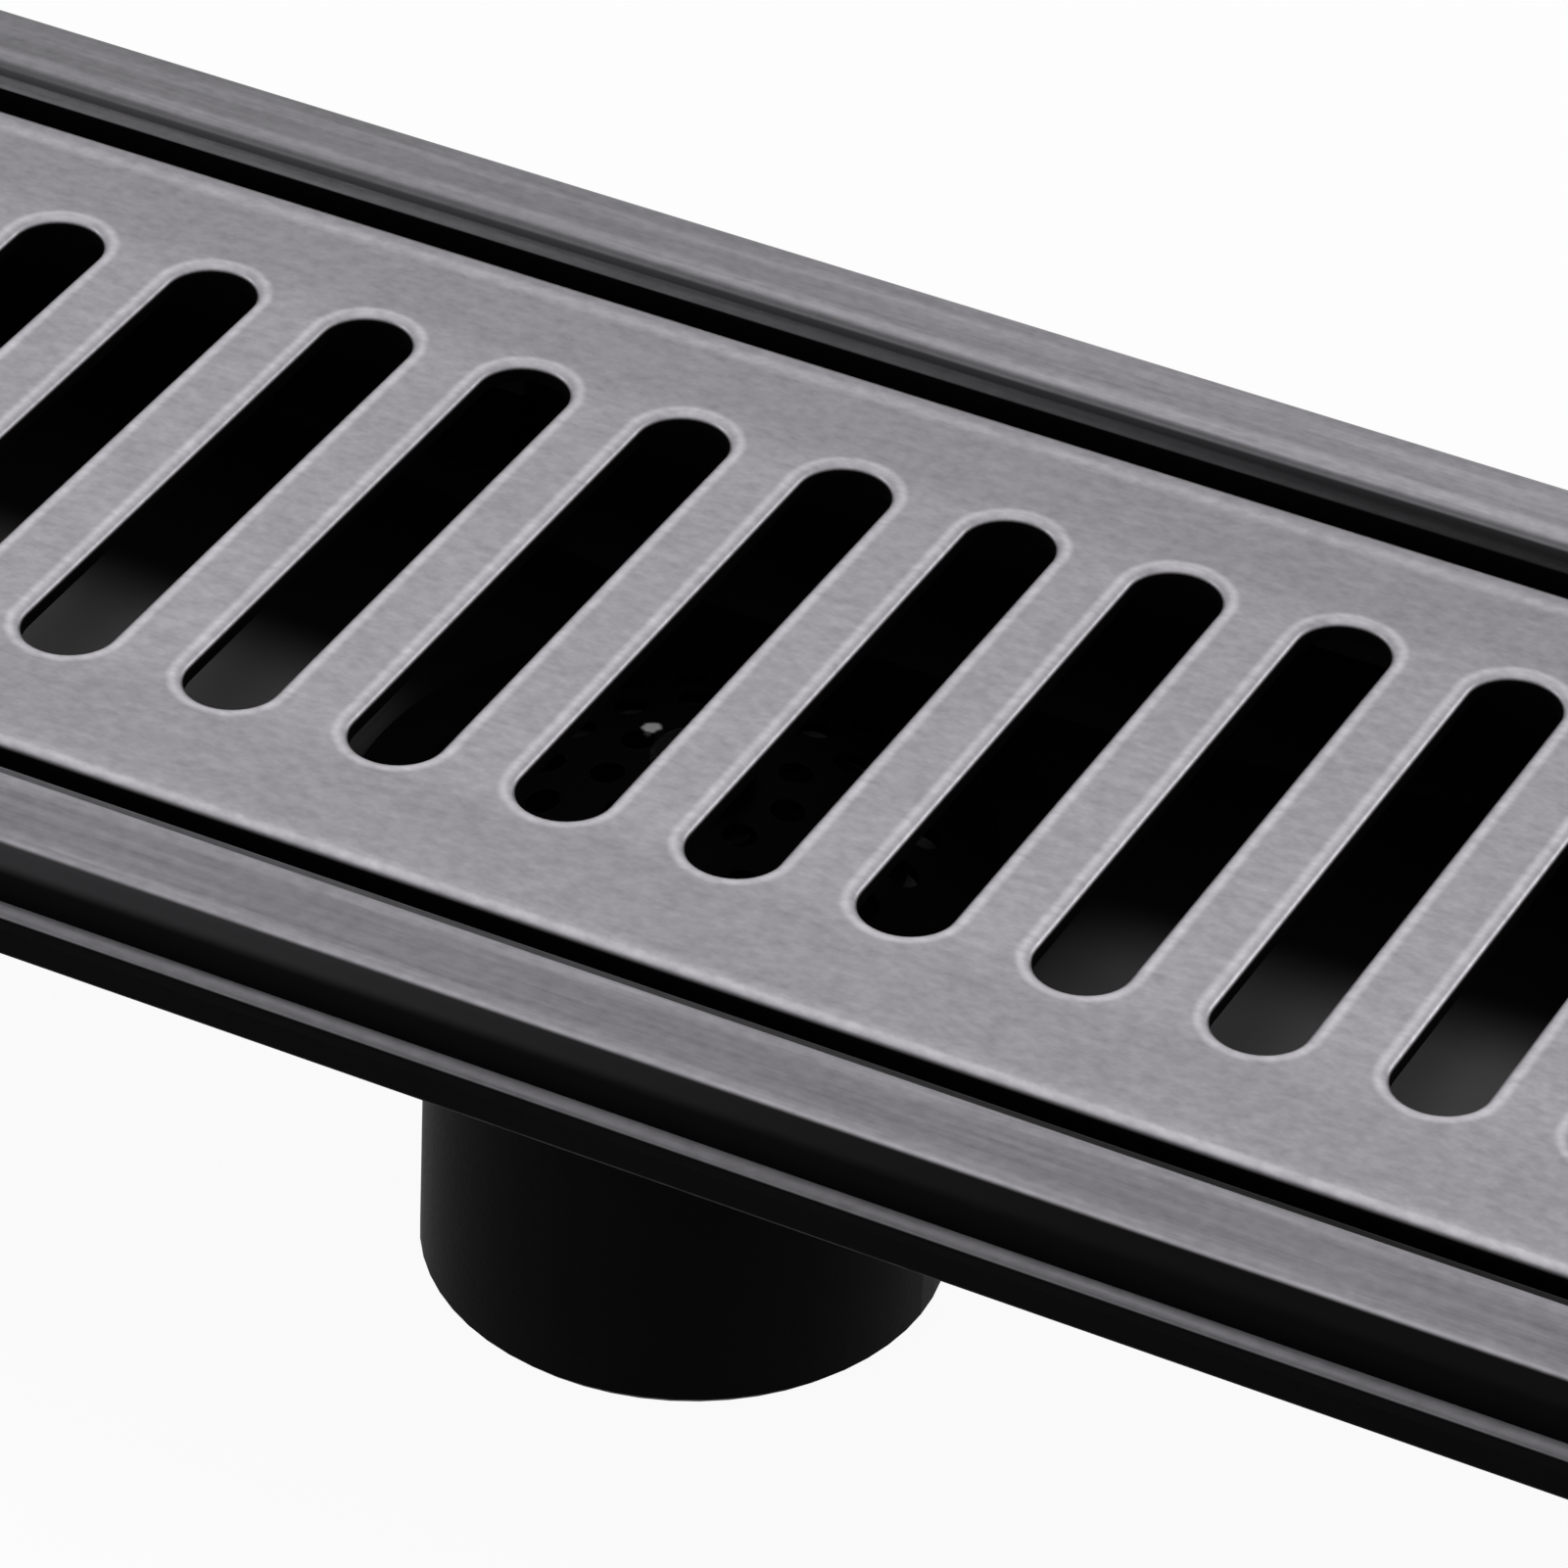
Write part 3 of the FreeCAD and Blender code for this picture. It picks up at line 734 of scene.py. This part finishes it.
# %% Threaded stem
stem_low, stem_high = (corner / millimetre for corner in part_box("valve_stem"))
stem_radius = stem_high.x
rod_sides = 32
rod_chamfer, rod_end_share = 0.25, 0.85
thread_pitch = 0.5
thread_root = stem_radius - 0.3
thread_turns, run_in, run_out = 18, 1.5, 0.5
thread_low = stem_low.z - run_in * thread_pitch
thread_top = thread_low + (thread_turns - run_out) * thread_pitch
rod_low = thread_top + 0.3
stem = bmesh.new()
ridge = chain(stem, [(thread_root, thread_low), (stem_radius, thread_low + thread_pitch / 2),
                     (thread_root, thread_low + thread_pitch)])
spin(stem, ridge, thread_turns, thread_turns * rod_sides, thread_turns * thread_pitch)
merge(stem)
for height, side in ((stem_low.z, -1), (thread_top, 1)):
    bmesh.ops.bisect_plane(stem, geom=stem.verts[:] + stem.edges[:] + stem.faces[:],
                           plane_co=(0, 0, height * millimetre), plane_no=(0, 0, side), clear_outer=True)
cut_edges = [edge for edge in stem.edges if edge.is_boundary]
middle = (stem_low.z + thread_top) / 2 * millimetre
bmesh.ops.holes_fill(stem, edges=[edge for edge in cut_edges if edge.verts[0].co.z < middle])
rod_ring = bmesh.ops.create_circle(stem, segments=rod_sides, radius=stem_radius * millimetre,
                                   matrix=Matrix.Translation((0, 0, rod_low * millimetre)))["verts"]
rod_edges = [edge for edge in stem.edges if edge.verts[0] in rod_ring]
upper_cut = [edge for edge in cut_edges if edge.verts[0].co.z > middle]
bmesh.ops.bridge_loops(stem, edges=upper_cut + rod_edges)
for radius_share, height in ((1.0, stem_high.z - rod_chamfer), (rod_end_share, stem_high.z)):
    raised = bmesh.ops.extrude_edge_only(stem, edges=rod_edges)["geom"]
    rod_verts = [item for item in raised if isinstance(item, bmesh.types.BMVert)]
    rod_edges = [item for item in raised if isinstance(item, bmesh.types.BMEdge)]
    bmesh.ops.scale(stem, vec=(radius_share, radius_share, 1), verts=rod_verts)
    bmesh.ops.translate(stem, vec=(0, 0, height * millimetre - rod_verts[0].co.z), verts=rod_verts)
bmesh.ops.holes_fill(stem, edges=rod_edges)
new_piece("threaded_stem", stem, bright_steel, "valve", "valve_stem")

# %% [markdown]
# ## Return spring
# A compression spring has its last coil at each end laid flat against the one before, so that it stands
# square. A round wire section is spun in three stretches with the rise of each. The valve pushes the spring
# down from above while its foot stays on the guide's hub.

# %% Return spring
hub_top = 27.0
valve_travel = 7.0
spring_length = 12.0
wire, wire_sides = 0.7, 12
coil_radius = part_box("valve_spring")[1].x / millimetre - wire / 2
closed_turns, open_turns, steps_per_turn = 0.9, 3.7, 40
closed_pitch = wire * 1.03
closed_rise = closed_turns * closed_pitch
open_rise = spring_length - wire - 2 * closed_rise
spring = bmesh.new()
bmesh.ops.create_circle(
    spring, segments=wire_sides, radius=wire / 2 * millimetre,
    matrix=Matrix.Translation(Vector((coil_radius, 0, hub_top + wire / 2)) * millimetre)
    @ Matrix.Rotation(math.radians(90), 4, "X"))
ring = spring.verts[:] + spring.edges[:]
for turns, rise in ((closed_turns, closed_rise), (open_turns, open_rise), (closed_turns, closed_rise)):
    ring = spin(spring, ring, turns, round(turns * steps_per_turn), rise)
bmesh.ops.holes_fill(spring, edges=[edge for edge in spring.edges if edge.is_boundary])
coil = new_piece("return_spring", spring, satin_steel, "drain", "valve_spring")
hub_top * millimetre
1 - valve_travel / spring_length
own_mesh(coil)

# %% [markdown]
# ## Rubber and silicone
# The pads under the grate and the finned ring round the sleeve are black rubber, which turns greyish with a
# dull bloom. The valve's sealing ring is pale silicone. Both get their unevenness from broad soft noise.

# %% Rubber pieces
bloom_waves = (0.5, 0.5, 0.5)


def soft_rubber(name, colour, roughness):
    """Matt rubber with a faint bloom."""
    finish = Finish(bpy.data.materials.new(name))
    bloom = finish.noise(bloom_waves, detail=3.0)
    return finish.close(finish.surface(
        Base_Color=finish.tinted((bloom * 0.7 + 0.65) * colour),
        Roughness=(bloom - 0.5) * 0.15 + roughness,
        Specular_IOR_Level=0.2,
        Normal=finish.bump(bloom, depth=0.04, strength=0.3),
    ))


pads = [node for node in frame["nodes"] if node.startswith("grate_pad")]
wear(soft_rubber("black_rubber", colour=0.012, roughness=0.8), "sleeve_seal", *pads)
wear(soft_rubber("grey_silicone", colour=0.4, roughness=0.5), "disc_gasket")

# %% [markdown]
# ## Sizes
# The finished drain has to fill the same space as the frame did, so both boxes are printed side by side.

# %% Write both boxes and finish
boxes = {"cad": [list(corner) for corner in cad_box], "visual": [list(corner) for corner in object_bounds()]}
print("boxes", boxes)
